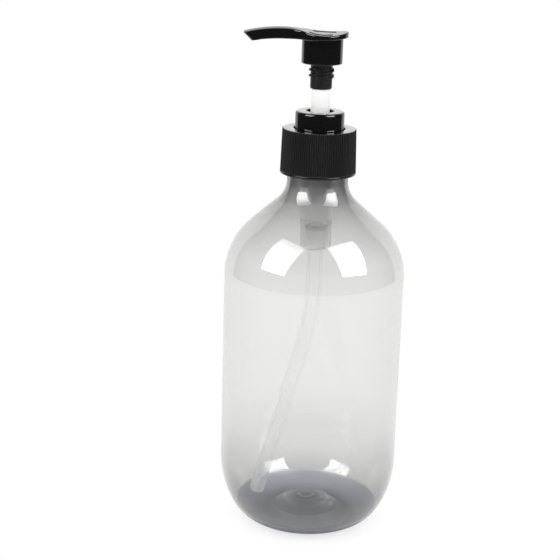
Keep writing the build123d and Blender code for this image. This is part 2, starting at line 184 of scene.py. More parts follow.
def lathe(name, profile, segments, radius=None, lift=None, sharp=40):
    """Turns a closed run of (r, z) points round Z.

    radius and lift may change a row's radius and height round the circle.
    """
    ang = np.arange(segments) * 2 * math.pi / segments
    verts, rows = [], []
    for r, z in profile:
        if r < 1e-6:
            rows.append([len(verts)])
            verts.append((0, 0, z))
            continue
        rr = np.full(segments, r) if radius is None else radius(r, z, ang)
        zz = np.full(segments, z) if lift is None else lift(r, z, ang)
        rows.append(list(range(len(verts), len(verts) + segments)))
        verts += list(zip(rr * np.cos(ang), rr * np.sin(ang), zz))
    faces = []
    for a, b in zip(rows, rows[1:] + rows[:1]):
        for i in range(segments):
            j = (i + 1) % segments
            if len(a) == 1 and len(b) == 1:
                break
            if len(a) == 1:
                faces.append((a[0], b[j], b[i]))
            elif len(b) == 1:
                faces.append((a[i], a[j], b[0]))
            else:
                faces.append((a[i], a[j], b[j], b[i]))
    return new_mesh(name, verts, faces, sharp)


def ring_of(r, n):
    """Points on a circle."""
    return [(r * math.cos(2 * math.pi * i / n), r * math.sin(2 * math.pi * i / n)) for i in range(n)]


def sweep(name, path, ring):
    """Carries a ring of (across, up) offsets along a path of (point, across axis, up axis)."""
    verts, n = [], len(ring)
    for at, across, up in path:
        verts += [np.asarray(at) + u * np.asarray(across) + v * np.asarray(up) for u, v in ring]
    faces = [(k * n + i, k * n + (i + 1) % n, (k + 1) * n + (i + 1) % n, (k + 1) * n + i)
             for k in range(len(path) - 1) for i in range(n)]
    faces += [tuple(range(n))[::-1], tuple(range(len(verts) - n, len(verts)))]
    return new_mesh(name, verts, faces)


def tube(name, path, outer, bore, n):
    """A round pipe, open at both ends, with small bevels there."""
    loops = [(p, outer) for p in path] + [(path[-1], outer - TUBE_EDGE), (path[-1], bore + TUBE_EDGE)]
    loops += [(p, bore) for p in reversed(path)] + [(path[0], outer - TUBE_TOP_EDGE)]
    verts = []
    for (at, across, up), r in loops:
        verts += [at + u * across + v * up for u, v in ring_of(r, n)]
    total = len(loops)
    faces = []
    for k in range(total):
        a, b = k * n, ((k + 1) % total) * n
        faces += [(a + i, b + i, b + (i + 1) % n, a + (i + 1) % n) for i in range(n)]
    return new_mesh(name, verts, faces, sharp=50)


def smooth(t):
    """A smooth step from 0 to 1."""
    t = np.clip(t, 0, 1)
    return t * t * (3 - 2 * t)


def thread(ang, z, ridge, start, pitch, turns, starts, width, phase=0.0):
    """How high a thread's ridge stands on the row at z, at each angle."""
    share = np.zeros_like(ang)
    for s in range(starts):
        a = (ang - phase - 2 * math.pi * s / starts) % (2 * math.pi)
        for t in range(-1, int(turns) + 2):
            turned = (a + 2 * math.pi * t) / (2 * math.pi)
            mid = start + pitch * turned
            ends = smooth(turned / THREAD_EASE) * smooth((turns - turned) / THREAD_EASE)
            d = np.abs(z - mid) / width
            share = np.maximum(share, ends * smooth(THREAD_FLANK * (1 - d)))
    return ridge * share


def threaded(at, sign, sizes):
    """A radius for lathe: rows at one radius carry a thread, outward or inward by the sign."""
    def radius(r, z, ang):
        return r + sign * thread(ang, z, **sizes) if abs(r - at) < NEAR else np.full(ang.shape, r)
    return radius


# Nodes of materials
NOISE_LOW, NOISE_HIGH = 0.3, 0.7


def material(name, colour, rough, **sockets):
    """A material with the Principled shader, its node tree and that shader."""
    mat = bpy.data.materials.new(name)
    mat.use_nodes = True
    nt = mat.node_tree
    p = nt.nodes["Principled BSDF"]
    p.inputs["Base Color"].default_value = (*colour, 1)
    p.inputs["Roughness"].default_value = rough
    for key, value in sockets.items():
        p.inputs[key.replace("_", " ")].default_value = value
    return mat, nt, p


def noise(nt, scale, detail=3.0, stretch=None):
    """A noise in the part's own coordinates."""
    tex = nt.nodes.new("ShaderNodeTexNoise")
    tex.inputs["Scale"].default_value = scale
    tex.inputs["Detail"].default_value = detail
    place = nt.nodes.new("ShaderNodeTexCoord").outputs["Object"]
    if stretch:
        stretched = nt.nodes.new("ShaderNodeMapping")
        stretched.inputs["Scale"].default_value = stretch
        nt.links.new(place, stretched.inputs["Vector"])
        place = stretched.outputs["Vector"]
    nt.links.new(place, tex.inputs["Vector"])
    return tex.outputs["Fac"]


def ranged(nt, socket, low, high):
    """A noise brought to the range from low to high."""
    mr = nt.nodes.new("ShaderNodeMapRange")
    marks = (("From Min", NOISE_LOW), ("From Max", NOISE_HIGH), ("To Min", low), ("To Max", high))
    for key, value in marks:
        mr.inputs[key].default_value = value
    nt.links.new(socket, mr.inputs["Value"])
    return mr.outputs["Result"]


def grain(nt, p, scale, low, high, detail=3.0, stretch=None):
    """Roughness that varies from low to high."""
    nt.links.new(ranged(nt, noise(nt, scale, detail, stretch), low, high), p.inputs["Roughness"])


def bump(nt, p, scale, detail, strength, distance):
    """A fine unevenness of the surface."""
    b = nt.nodes.new("ShaderNodeBump")
    b.inputs["Strength"].default_value = strength
    b.inputs["Distance"].default_value = distance
    nt.links.new(noise(nt, scale, detail), b.inputs["Height"])
    nt.links.new(b.outputs["Normal"], p.inputs["Normal"])


def math_node(nt, operation, a, b):
    node = nt.nodes.new("ShaderNodeMath")
    node.operation = operation
    nt.links.new(a, node.inputs[0])
    nt.links.new(b, node.inputs[1])
    return node.outputs[0]


def between(nt, socket, low, high, a=0.0, b=1.0):
    """A smooth step from a to b as the socket goes from low to high."""
    mr = nt.nodes.new("ShaderNodeMapRange")
    mr.interpolation_type = "SMOOTHSTEP"
    for key, value in (("From Min", low), ("From Max", high), ("To Min", a), ("To Max", b)):
        mr.inputs[key].default_value = value
    nt.links.new(socket, mr.inputs["Value"])
    return mr.outputs["Result"]


def mixed(nt, kind, fac, a, b):
    """A mix by fac of a and b, each a socket or a value."""
    mix = nt.nodes.new("ShaderNodeMix")
    mix.data_type = kind
    nt.links.new(fac, mix.inputs["Factor"])
    spot_a, spot_b, out = {"RGBA": (6, 7, 2), "FLOAT": (2, 3, 0)}[kind]
    for spot, value in ((spot_a, a), (spot_b, b)):
        if isinstance(value, bpy.types.NodeSocket):
            nt.links.new(value, mix.inputs[spot])
        else:
            mix.inputs[spot].default_value = value
    return mix.outputs[out]


def shader_mix(nt, fac, a, b):
    mix = nt.nodes.new("ShaderNodeMixShader")
    for spot, socket in enumerate((fac, a, b)):
        nt.links.new(socket, mix.inputs[spot])
    return mix.outputs[0]


def along(nt):
    """Sockets with the place on the part: distance from the axis, and height."""
    co = nt.nodes.new("ShaderNodeTexCoord")
    flat = nt.nodes.new("ShaderNodeVectorMath")
    flat.operation = "MULTIPLY"
    flat.inputs[1].default_value = (1, 1, 0)
    reach = nt.nodes.new("ShaderNodeVectorMath")
    reach.operation = "LENGTH"
    split = nt.nodes.new("ShaderNodeSeparateXYZ")
    nt.links.new(co.outputs["Object"], flat.inputs[0])
    nt.links.new(flat.outputs[0], reach.inputs[0])
    nt.links.new(co.outputs["Object"], split.inputs[0])
    return reach.outputs["Value"], split.outputs["Z"]


def facing(nt):
    """0 where the surface faces the eye, up to 1 at its outline."""
    slant = nt.nodes.new("ShaderNodeLayerWeight")
    slant.inputs["Blend"].default_value = 0.5
    return slant.outputs["Facing"]


# Clear bottle: a grey that deepens with the plastic's thickness, and a dull, darker base disc; the darker
# heel, neck top and base disc are partly painted shade
def grey(level):
    return (level, level, level * 0.995)


GREY, NECK_SHADE_GREY = (0.905, 0.908, 0.9), (0.2, 0.2, 0.2)
# Tint by height: thicker plastic is darker. The darker heel also holds painted shade of the bottle's shadow on
# the floor behind it, and the dark neck top holds painted shade of the closure over it
WALL_TINT_AND_SHADE = ((0, grey(0.5)), (7, grey(0.57)), (15, grey(0.7)), (28, grey(0.815)), (46, GREY), (106, GREY),
             (118, grey(0.85)), (126, grey(0.815)), (133, grey(0.75)), (139, grey(0.61)),
             (147, grey(0.33)), (163, NECK_SHADE_GREY))
WALL_SHADE = ((0, grey(0.6)), (10, grey(0.75)), (36, GREY), (126, GREY), (147, grey(0.5)), (163, NECK_SHADE_GREY))
# The base disc's dark, bluish colour is partly the thicker base and partly painted shade of the bottle's own
# shadow on the floor under it
BASE_TINT_AND_SHADE, BASE_SHADE, RING_TINT = (0.3, 0.304, 0.35), (0.42, 0.42, 0.43), (0.46, 0.465, 0.5)
BASE_EDGE, BASE_BLUR, BASE_OVER, BASE_BELOW = 30.2, 0.5, 18, 13
RING_BAND, RING_SHARE, SPOT_BAND = (8.4, 9.2, 9.6, 10.4), 0.3, (2.2, 2.8, 3.3, 3.9)
BASE_HAZE, RIM_HAZE, HEEL_HAZE, WALL_HAZE = 0.5, 0.7, 0.08, (0.012, 0.045)
HEEL_CLEAR, HEEL_DULL, HEEL_BLUR, FLOOR_CLEAR, FLOOR_DULL = 24.0, 11.0, 1.0, 12.0, 15.0
SLANT_FROM, SLANT_TO, SLANT_GAMMA = 0.1, 0.85, 2.2


def by_height(nt, stops):
    """Colour by height up the bottle, from (height, colour) stops: thicker plastic looks darker, and in the
    tint some stops are painted shade.
    """
    scale = nt.nodes.new("ShaderNodeMapRange")
    ramp = nt.nodes.new("ShaderNodeValToRGB")
    scale.inputs["From Max"].default_value = RIM_Z * MM
    nt.links.new(along(nt)[1], scale.inputs["Value"])
    nt.links.new(scale.outputs["Result"], ramp.inputs["Fac"])
    while len(ramp.color_ramp.elements) < len(stops):
        ramp.color_ramp.elements.new(0.5)
    for mark, (z, colour) in zip(ramp.color_ramp.elements, stops):
        mark.position = z / RIM_Z
        mark.color = (*colour, 1)
    return ramp.outputs["Color"]


def on_outside(nt):
    """1 on the bottle's outer face, 0 on its inner one."""
    node = nt.nodes.new("ShaderNodeAttribute")
    node.attribute_name = "outside"
    return node.outputs["Fac"]


def on_inside(nt):
    return between(nt, on_outside(nt), 0.6, 0.4)


def on_base(nt):
    """1 on the thick base disc, 0 on the wall. The disc's dark colour is partly painted shade."""
    reach, height = along(nt)
    inside = between(nt, reach, (BASE_EDGE + BASE_BLUR) * MM, (BASE_EDGE - BASE_BLUR) * MM)
    return math_node(nt, "MULTIPLY", inside, between(nt, height, BASE_OVER * MM, BASE_BELOW * MM))


def wall_colour(nt, wall, base):
    """Tint of the wall by height, with the base disc in a colour of its own; as surface colour both are partly
    painted shade.
    """
    return mixed(nt, "RGBA", on_base(nt), by_height(nt, wall), (*base, 1))


def band(nt, socket, marks, level=1.0):
    """A ring that rises to a level between the first two marks and falls between the last two."""
    rise_from, rise_to, fall_from, fall_to = (mark * MM for mark in marks)
    rise = between(nt, socket, rise_from, rise_to, 0.0, level)
    return math_node(nt, "MULTIPLY", rise, between(nt, socket, fall_to, fall_from))


def ring_tint(nt, colour):
    """A colour that two thin rings, where the base is thinner, make lighter."""
    reach = along(nt)[0]
    rings = math_node(nt, "MAXIMUM", band(nt, reach, RING_BAND, RING_SHARE), band(nt, reach, SPOT_BAND))
    rings = math_node(nt, "MULTIPLY", rings, on_inside(nt))
    return mixed(nt, "RGBA", math_node(nt, "MULTIPLY", rings, on_base(nt)), colour, (*RING_TINT, 1))


def lets_light_through(nt, p, wall, base):
    """Lamps' light passes this clear wall, dimmed by its thickness."""
    clear = nt.nodes.new("ShaderNodeBsdfTransparent")
    nt.links.new(wall_colour(nt, wall, base), clear.inputs["Color"])
    to_lamp = nt.nodes.new("ShaderNodeLightPath").outputs["Is Shadow Ray"]
    both = shader_mix(nt, to_lamp, p.outputs["BSDF"], clear.outputs["BSDF"])
    nt.links.new(both, nt.nodes["Material Output"].inputs["Surface"])


clear_bottle, nt, p = material("clear_bottle", (0.9, 0.9, 0.9), 0.03, Transmission_Weight=1.0, IOR=1.65)
reach, height = along(nt)
low_inside = math_node(nt, "MULTIPLY", between(nt, height, HEEL_CLEAR * MM, HEEL_DULL * MM), on_inside(nt))
off_base = between(nt, reach, (BASE_EDGE - HEEL_BLUR) * MM, BASE_EDGE * MM)
on_heel = math_node(nt, "MULTIPLY", low_inside, off_base)
wall_haze = mixed(nt, "FLOAT", on_heel, ranged(nt, noise(nt, 60), *WALL_HAZE), HEEL_HAZE)
inner_rim = between(nt, reach, FLOOR_CLEAR * MM, FLOOR_DULL * MM, 0.0, RIM_HAZE)
frosted = math_node(nt, "MULTIPLY", on_base(nt), math_node(nt, "MAXIMUM", on_outside(nt), inner_rim))
nt.links.new(mixed(nt, "FLOAT", frosted, wall_haze, BASE_HAZE), p.inputs["Roughness"])
bump(nt, p, 55, 1.0, 0.2, 0.0001)
slanted = nt.nodes.new("ShaderNodeGamma")
# The surface tint holds painted shade at the heel, the neck top and the base disc, as well as the plastic's
# own tint
nt.links.new(wall_colour(nt, WALL_TINT_AND_SHADE, BASE_TINT_AND_SHADE), slanted.inputs["Color"])
nt.links.new(between(nt, facing(nt), SLANT_FROM, SLANT_TO, 1.0, SLANT_GAMMA), slanted.inputs["Gamma"])
nt.links.new(ring_tint(nt, slanted.outputs["Color"]), p.inputs["Base Color"])
lets_light_through(nt, p, WALL_SHADE, BASE_SHADE)

# Black mouldings: satin from a grained mould, polished flats, and gloss
satin, nt, p = material("black_satin", (0.005, 0.005, 0.0056), 0.45, Specular_IOR_Level=0.22)
grain(nt, p, 900, 0.4, 0.5)
bump(nt, p, 2500, 2, 0.08, 0.00003)

polished, nt, p = material("black_polished", (0.005, 0.005, 0.0056), 0.08, Specular_IOR_Level=1.0,
                           Coat_Weight=1.0, Coat_IOR=1.9, Coat_Roughness=0.06)
grain(nt, p, 900, 0.06, 0.12)
bump(nt, p, 160, 2, 0.08, 0.00002)

gloss, nt, p = material("black_gloss", (0.004, 0.004, 0.0045), 0.06, Specular_IOR_Level=0.5)
grain(nt, p, 350, 0.04, 0.09, 4)
bump(nt, p, 160, 2, 0.08, 0.00002)

marks, nt, p = material("pad_marks", (0.012, 0.012, 0.013), 0.5, Specular_IOR_Level=0.2)
grain(nt, p, 1500, 0.42, 0.58)

white, nt, p = material("white_plastic", (0.98, 0.98, 0.975), 0.3, Specular_IOR_Level=0.4)
grain(nt, p, 500, 0.24, 0.36)
bump(nt, p, 900, 2, 0.15, 0.00003)

# Natural plastic of the housing and the dip tube
BARREL, SOCKET = (0.92, 0.925, 0.925), (0.72, 0.725, 0.72)
BARREL_MILK, SOCKET_MILK = (0.35, 0.6), (0.3, 0.5)
BARREL_FOOT, BARREL_TINT_EASE, BARREL_MILK_EASE = 131.0, 1.0, 0.3
SOCKET_CLEAR, SOCKET_OPAQUE, SOCKET_BLUR = 127.0, 125.6, 0.2
TUBE_UPPER, TUBE_LOWER = (0.54, 0.545, 0.555), (0.8, 0.805, 0.82)
TUBE_UPPER_MILK, TUBE_LOWER_MILK = (0.05, 0.18), (0.42, 0.65)
TUBE_TURN, TUBE_EASE = 14.0, 6.0
MILK_FACING, MILK_SLANTED = 0.2, 0.9


def step_up(nt, height, turn, ease):
    """A smooth step from 0 to 1 round a height."""
    return between(nt, height, (turn - ease) * MM, (turn + ease) * MM)


def natural_plastic(name, tints, milks, turn, tint_ease, milk_ease):
    """Milky plastic, less clear at a slant, and its opacity.

    tints and milks hold its colour and its (facing, slanted) opacity below and above the height turn.
    """
    mat, nt, p = material(name, tints[1], 0.45, Specular_IOR_Level=0.04)
    height = along(nt)[1]
    lower, upper = ((*tint, 1) for tint in tints)
    colour = mixed(nt, "RGBA", step_up(nt, height, turn, tint_ease), lower, upper)
    nt.links.new(colour, p.inputs["Base Color"])
    slant = facing(nt)
    lower, upper = (between(nt, slant, MILK_FACING, MILK_SLANTED, *milk) for milk in milks)
    opacity = mixed(nt, "FLOAT", step_up(nt, height, turn, milk_ease), lower, upper)
    nt.links.new(opacity, p.inputs["Alpha"])
    grain(nt, p, 300, 0.4, 0.55)
    bump(nt, p, 400, 2, 0.1, 0.00003)
    return mat, nt, p, opacity


housing_plastic, nt, p, opacity = natural_plastic(
    "housing_plastic", (SOCKET, BARREL), (SOCKET_MILK, BARREL_MILK),
    BARREL_FOOT, BARREL_TINT_EASE, BARREL_MILK_EASE)
reach, height = along(nt)
in_socket = math_node(nt, "MULTIPLY", between(nt, reach, (SOCKET_R + SOCKET_BLUR) * MM, SOCKET_R * MM),
                      between(nt, height, SOCKET_CLEAR * MM, SOCKET_OPAQUE * MM))
nt.links.new(mixed(nt, "FLOAT", in_socket, opacity, 1.0), p.inputs["Alpha"])

tube_plastic = natural_plastic(
    "tube_plastic", (TUBE_LOWER, TUBE_UPPER), (TUBE_LOWER_MILK, TUBE_UPPER_MILK),
    TUBE_TURN, TUBE_EASE, TUBE_EASE)[0]

cut_end, nt, p = material("tube_end", (0.9, 0.9, 0.9), 0.4)
grain(nt, p, 900, 0.3, 0.5)

liner, nt, p = material("liner_foam", (0.82, 0.82, 0.8), 0.8)
bump(nt, p, 2500, 3, 0.4, 0.0001)

steel, nt, p = material("steel", (0.74, 0.74, 0.75), 0.4, Metallic=1.0)
grain(nt, p, 1200, 0.32, 0.5, stretch=(1, 1, 8))


def dress(obj, mat, body, slot, *nodes):
    """Gives a piece its material and its body, and hides the CAD nodes that it replaces. The slot is not used.
    """
    obj.data.materials.clear()
    obj.data.materials.append(mat)
    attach(obj, body)
    if nodes:
        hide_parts(*nodes)


FLAT = 0.8


def polish(obj, below=None):
    """Flat faces that look up, and a bead below a height, are smoother, as they come out of the mould."""
    obj.data.materials.append(polished)
    if below is not None:
        obj.data.materials.append(gloss)
    for face in obj.data.polygons:
        bead = below is not None and face.center.z < below * MM
        face.material_index = 2 if bead else (1 if face.normal.z > FLAT else 0)


# Bottle, with its screw thread on the neck and moulding rings on the pushed-up base
BASE_N, HEEL_N, FLANK_N, SHOULDER_N, ROOT_N, NECK_N, LIP_N = 60, 24, 14, 24, 16, 64, 5
GATE_R, GATE_DEEP, GATE_SOFT = 3.6, 0.5, 0.5
MARK_R, MARK_HIGH, MARK_SOFT, INNER_SHARE = 9.4, 0.12, 0.55, 0.6
flank_deg, turn_deg = math.degrees(FLANK_T), math.degrees(TURN)
dome_r = FOOT_R - FOOT_W
DOME = (dome_r**2 + PUSH_UP**2) / (2 * PUSH_UP)
floor_h = PUSH_UP + BASE_WALL - WALL
FLOOR = (FOOT_R**2 + floor_h**2) / (2 * floor_h)
dome_end = math.degrees(math.acos(dome_r / DOME))
floor_end = math.degrees(math.acos(FOOT_R / FLOOR))


def base_rings(r):
    """Small steps that the mould leaves on the base."""
    gate = -GATE_DEEP * float(smooth((GATE_R - r) / GATE_SOFT))
    return gate + MARK_HIGH * math.exp(-((r - MARK_R) / MARK_SOFT) ** 2)


dome = [(r, z + base_rings(r)) for r, z in arc(0, PUSH_UP - DOME, DOME, 90, dome_end, BASE_N)]
heel = arc(FOOT_R, HEEL_R, HEEL_R, -90, -flank_deg, HEEL_N)
flank = arc(BODY_R - FLANK_R, HEEL_H, FLANK_R, -flank_deg, 0, FLANK_N)
shoulder = arc(BODY_R - SHOULDER_R, SHOULDER_Z, SHOULDER_R, 0, turn_deg, SHOULDER_N)
root = arc(NECK_R + NECK_FILLET, NECK_Z, NECK_FILLET, 180 + turn_deg, 180, ROOT_N)
neck = line((NECK_R, NECK_Z), (NECK_R, RIM_Z - LIP_OUT), NECK_N)
lip = arc(NECK_R - LIP_OUT, RIM_Z - LIP_OUT, LIP_OUT, 0, 90, LIP_N)
lip += arc(BORE_R + LIP_IN, RIM_Z - LIP_IN, LIP_IN, 90, 180, LIP_N)
inner_fillet = NECK_FILLET + WALL
inner_neck_z = INNER_Z + inner_fillet * math.sin(TURN)
inner_root = arc(BORE_R + inner_fillet, inner_neck_z, inner_fillet, 180, 180 + turn_deg, ROOT_N)
inner_shoulder = arc(BODY_R - SHOULDER_R, SHOULDER_Z, SHOULDER_R - WALL, turn_deg, 0, SHOULDER_N)
inner_flank = arc(BODY_R - FLANK_R, HEEL_H, FLANK_R - WALL, 0, -flank_deg, FLANK_N)
inner_heel = arc(FOOT_R, HEEL_R, HEEL_R - WALL, -flank_deg, -90, HEEL_N)
floor_arc = arc(0, PUSH_UP + BASE_WALL - FLOOR, FLOOR, floor_end, 90, BASE_N)
floor_in = [(r, z + INNER_SHARE * base_rings(r)) for r, z in floor_arc]
dome[0] = (0, dome[0][1])
floor_in[-1] = (0, floor_in[-1][1])
outer = join(dome, line(dome[-1], (FOOT_R, 0), 4), heel, flank, shoulder, root, neck)
whole = join(outer, lip, inner_root, inner_shoulder, inner_flank, inner_heel, floor_in)
bottle = lathe("bottle_shell", whole, BOTTLE_SEGMENTS, radius=threaded(NECK_R, 1, NECK_THREAD), sharp=None)
dress(bottle, clear_bottle, "bottle", "clear_bottle", "bottle")
outer_points = (len(outer) - 1) * BOTTLE_SEGMENTS + 1
for k, spot in enumerate(bottle.data.attributes.new("outside", "FLOAT", "POINT").data):
    spot.value = 1.0 if k < outer_points else 0.0


# Closure with rounded ribs, a plain bead at its foot and a screw thread inside
def side_r(z):
    return CLOSURE_TOP_R + (CLOSURE_TOP - z) * DRAFT


foot_r, bead_top = CLOSURE_TOP_R + CLOSURE_H * DRAFT, CLOSURE_FOOT + BEAD_H
bead = arc(foot_r - FOOT_ROUND, CLOSURE_FOOT + FOOT_ROUND, FOOT_ROUND, -90, 0, 7)
bead += arc(side_r(bead_top) - BEAD_ROUND, bead_top - BEAD_ROUND, BEAD_ROUND, 0, 62, 7)
skirt_rows = [*np.linspace(bead_top, bead_top + SKIRT_EASE, 6),
              *np.linspace(CLOSURE_FOOT + SKIRT_FROM, CLOSURE_TOP - SKIRT_TO, 8)]
skirt = [(side_r(z) - RIB_INSET, z) for z in skirt_rows]
crown = arc(CLOSURE_TOP_R - TOP_ROUND - TOP_INSET, CLOSURE_TOP - TOP_ROUND, TOP_ROUND, 0, 90, 6)
mouth = arc(HOLE_R + MOUTH_ROUND, CLOSURE_TOP - MOUTH_ROUND, MOUTH_ROUND, 90, 180, 4)
bore = line((CLOSURE_BORE, PLATE_UNDER), (CLOSURE_BORE, CLOSURE_FOOT + FOOT_CUT), 44)
closure_profile = join(bead, skirt, crown, mouth, [(HOLE_R, PLATE_UNDER)], bore,
                       [(CLOSURE_BORE + FOOT_CUT, CLOSURE_FOOT)])


def closure_side(r, z, ang):
    """Ribs outside, the screw thread inside."""
    if r > CLOSURE_BORE + NEAR:
        wave = 0.5 - 0.5 * np.cos(RIBS * ang)
        deep = RIB_DEPTH * float(smooth((z - CLOSURE_FOOT - BEAD_H + RIB_START) / RIB_EASE))
        inward = float(smooth((r - CLOSURE_TOP_R + RIB_TOP) / RIB_TOP_EASE))
        return r - deep * inward * (1 - wave**RIB_ROUND)
    return threaded(CLOSURE_BORE, -1, CLOSURE_THREAD)(r, z, ang)


closure = lathe("closure_cap", closure_profile, RIBS * RIB_STEPS, radius=closure_side)
dress(closure, satin, "closure", "black_satin", "closure")
polish(closure, CLOSURE_FOOT + BEAD_H)

# Lock ring with the thread in its well that catches the head's plug
well = line((WELL_R, RING_TOP - WELL_EDGE), (WELL_R, RING_TOP - WELL_ROWS), 40)
well_out, skirt_in, skirt_out = WELL_R + WELL_WALL, RING_R - RING_SKIRT_IN, RING_R - RING_SKIRT_OUT
ring_profile = join(
    arc(RING_R - RING_ROUND, RING_TOP - RING_ROUND, RING_ROUND, 0, 90, 11),
    [(WELL_R + WELL_EDGE, RING_TOP)], well,
    [(WELL_R, WELL_FLOOR), (GUIDE_R, WELL_FLOOR), (GUIDE_R, GUIDE_FOOT), (well_out, GUIDE_FOOT),
     (well_out, RING_TOP - RING_ROOF), (skirt_in, RING_TOP - RING_ROOF), (skirt_in, GUIDE_FOOT),
     (skirt_out, GUIDE_FOOT), (skirt_out, FLANGE_TOP), (FLANGE_R, FLANGE_TOP), (FLANGE_R, RING_SEAT),
     (RING_R, RING_SEAT)])
ring = lathe("lock_ring_body", ring_profile, RING_SEGMENTS, radius=threaded(WELL_R, -1, WELL_THREAD), sharp=35)
dress(ring, gloss, "pump_base", "black_gloss", "lock_ring")
polish(ring)

# Head: hub, pocket with four ribs, and a plug with a two-start lock thread
socket_r, pocket_r = SPIGOT_R + SPIGOT_GAP, HUB_R - HUB_WALL
hub_profile = join(
    [(socket_r, HUB_TOP), (socket_r, PLUG_FOOT), (PLUG_R - PLUG_FLAT, PLUG_FOOT),
     (PLUG_R - PLUG_EDGE, PLUG_FOOT + PLUG_EDGE), (PLUG_R, PLUG_FOOT + PLUG_EDGE_H)],
    line((PLUG_R, ROWS_LOW), (PLUG_R, ROWS_HIGH), 110),
    [(PLUG_NECK, PLUG_NECK_Z), (PLUG_NECK, HUB_POCKET), (pocket_r, HUB_POCKET), (pocket_r, HUB_FOOT)],
    arc(HUB_R - HUB_ROUND, HUB_FOOT + HUB_ROUND, HUB_ROUND, -90, 0, 7), [(HUB_R, HUB_TOP)])


def pocket_ribs(r, z, ang):
    across = np.abs((ang + math.pi / 4) % (math.pi / 2) - math.pi / 4) * r
    rib = (abs(z - HUB_POCKET) < NEAR) & (across < HUB_WALL / 2)
    return np.where(rib, HUB_FOOT, z)


hub = lathe("head_hub", hub_profile, HUB_SEGMENTS, radius=threaded(PLUG_R, 1, PLUG_THREAD),
            lift=pocket_ribs, sharp=65)
dress(hub, gloss, "head", "black_gloss", "head")
hub.data.materials.append(satin)
for face in hub.data.polygons:
    face.material_index = 1 if face.center.z < PLUG_SATIN * MM else 0


# Head: thumb pad and spout, as cross-sections from the back of the pad to the slanted tip
def fall(run, radius):
    """How far an arc that starts level has dropped after this run."""
    return radius - math.sqrt(radius * radius - run * run)


def through(run, rise):
    """Radius of an arc that starts level and rises this much over this run."""
    return (run * run + rise * rise) / (2 * rise)


SWAY = through(LOW_X - CREST_X, CREST - PAD_TOP)
SWAY_X = CREST_X + CREST_SHARE * (LOW_X - CREST_X)
BLEND_X = -math.sqrt((PAD_R + SPOUT_BLEND) ** 2 - (SPOUT_HALF + SPOUT_BLEND) ** 2)
BLEND_END = BLEND_X * PAD_R / (PAD_R + SPOUT_BLEND)
TILT = (CREST_X - TIP_UNDER_X) / (CREST_X - TIP_X)
BROW_R = through(CREST_X - TIP_X, CREST - TIP_TOP)
DROOP_R = through(CREST_X - TIP_UNDER_X, SPOUT_UNDER - TIP_UNDER)
BACK_R = through(PAD_R + BACK_RUN - LOW_X, PAD_BACK)


def top_z(x):
    """Height of the head's top along its middle."""
    if x < CREST_X:
        return CREST - fall(CREST_X - x, BROW_R)
    if x < SWAY_X:
        return CREST - fall(x - CREST_X, CREST_SHARE * SWAY)
    if x < LOW_X:
        return PAD_TOP + fall(LOW_X - x, DISH_SHARE * SWAY)
    return PAD_TOP + fall(x - LOW_X, BACK_R)


def under_z(x):
    """Height of the head's underside."""
    half = PAD_R / 2
    if x > half:
        return PAD_UNDER + BACK_LIFT * (x - half) / (half + BACK_RUN)
    if x > -half:
        return SPOUT_UNDER + FRONT_LIFT * (x + half) / PAD_R
    return SPOUT_UNDER - (fall(CREST_X - x, DROOP_R) if x < CREST_X else 0)


def half_width(x):
    """Half the head's width, seen from above."""
    if x > BLEND_END:
        return math.sqrt(max(PAD_R**2 - x * x, 0))
    if x > BLEND_X:
        return SPOUT_HALF + fall(x - BLEND_X, SPOUT_BLEND)
    short = max(TIP_ROUND - (x - TIP_X), 0)
    return SPOUT_HALF - fall(min(short, TIP_ROUND), TIP_ROUND)


def from_edge(x, y):
    """How far a point of the head lies inside its outline, seen from above."""
    y = abs(y)
    if x < BLEND_X:
        dx, dy = TIP_X + TIP_ROUND - x, y - SPOUT_HALF + TIP_ROUND
        return TIP_ROUND - math.hypot(dx, dy) if dx > 0 and dy > 0 else min(SPOUT_HALF - y, x - TIP_X)
    r = math.hypot(x, y)
    if PAD_R * x > BLEND_END * r:
        return PAD_R - r
    return math.hypot(x - BLEND_X, SPOUT_HALF + SPOUT_BLEND - y) - SPOUT_BLEND


def rounded(gap, r):
    """How far a rounded edge has dropped at this gap from the outline."""
    return fall(r - gap, r) if 0 < gap < r else (r if gap <= 0 else 0)


def crowned(x, y):
    """How far the spout's top lies below its middle line, at a place across it."""
    full = float(smooth((CROWN_FROM - x) / (CROWN_FROM - CROWN_FULL)))
    return CROWN * full * (y / SPOUT_HALF) ** 2


def section(x):
    """Points round the head at one station: across its top, and back along its underside."""
    w = half_width(x)
    steps = [e * min(1, w / EDGE_FULL) for e in EDGE_STEPS]
    inner = w - steps[-1]
    ys = [-w + e for e in steps] + list(np.linspace(-inner, inner, ACROSS_N))[1:-1]
    ys += [w - e for e in reversed(steps)]
    edge = TOP_EDGE - TIP_EDGE_LESS * float(smooth((TIP_EDGE_X - x) / TIP_EDGE_RUN))
    under_edge = UNDER_EDGE if x > TIP_X + TIP_PLAIN else 0
    low_x = x if x > CREST_X else CREST_X - TILT * (CREST_X - x)
    above = [(x, y, top_z(x) - crowned(x, y) - rounded(from_edge(x, y), edge)) for y in ys]
    below = [(low_x, y, under_z(low_x) + (rounded(from_edge(x, y), under_edge) if under_edge else 0))
             for y in reversed(ys)]
    return above + below


blend_deg = math.degrees(math.acos(BLEND_END / PAD_R))
stations = [PAD_R * math.cos(math.radians(a)) for a in np.linspace(FIRST_DEG, blend_deg, PAD_N)]
stations += list(np.linspace(BLEND_END, BLEND_X, BLEND_N))[1:]
stations += list(np.linspace(BLEND_X, TIP_X + TIP_ROUND, SPOUT_N))[1:]
stations += [TIP_X + TIP_ROUND * (1 - math.sin(math.radians(a))) for a in np.linspace(0, 90, TIP_N)][1:]
rows = [section(x) for x in stations]
n, half = len(rows[0]), len(rows[0]) // 2
verts = [v for row in rows for v in row]
faces = []
for a in range(0, (len(rows) - 1) * n, n):
    faces += [(a + i, a + n + i, a + n + (i + 1) % n, a + (i + 1) % n) for i in range(n)]
faces += [(i, i + 1, n - 2 - i, n - 1 - i) for i in range(half - 1)]

